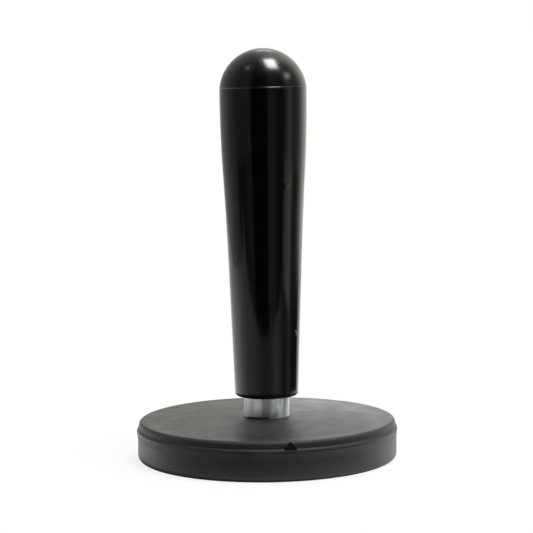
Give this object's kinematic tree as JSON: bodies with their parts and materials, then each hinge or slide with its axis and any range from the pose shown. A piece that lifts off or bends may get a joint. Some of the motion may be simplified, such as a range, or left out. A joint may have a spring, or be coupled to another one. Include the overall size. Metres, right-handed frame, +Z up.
{
  "type": "magnetic holder",
  "caption": "Round rubber-coated holding magnet with a zinc-plated threaded bush and a tapered, dome-topped gloss black handle, for holding and lifting off sheet steel by hand.",
  "frame": {"origin": "centre of the flat holding face, on the axis of the handle", "axes": "+Z up the handle, away from the holding face; -Y towards the viewer of the picture"},
  "size_m": [0.0664, 0.0664, 0.104],
  "materials": {
    "black_rubber": "satin moulded rubber",
    "black_gloss": "polished moulding",
    "zinc_plate": "turned and zinc plated",
    "plain_steel": "rolled steel",
    "nickel_magnet": "nickel plated"
  },
  "bodies": {
    "root": {"rubber_cover": "black_rubber", "steel_plate": "plain_steel", "threaded_bush": "zinc_plate", "handle_stud": "zinc_plate", "handle": "black_gloss", "outer_magnet_1": "nickel_magnet", "outer_magnet_2": "nickel_magnet", "outer_magnet_3": "nickel_magnet", "outer_magnet_4": "nickel_magnet", "outer_magnet_5": "nickel_magnet", "outer_magnet_6": "nickel_magnet", "outer_magnet_7": "nickel_magnet", "outer_magnet_8": "nickel_magnet", "outer_magnet_9": "nickel_magnet", "outer_magnet_10": "nickel_magnet", "outer_magnet_11": "nickel_magnet", "outer_magnet_12": "nickel_magnet", "inner_magnet_1": "nickel_magnet", "inner_magnet_2": "nickel_magnet", "inner_magnet_3": "nickel_magnet", "inner_magnet_4": "nickel_magnet", "inner_magnet_5": "nickel_magnet", "inner_magnet_6": "nickel_magnet"}
  },
  "joints": []
}
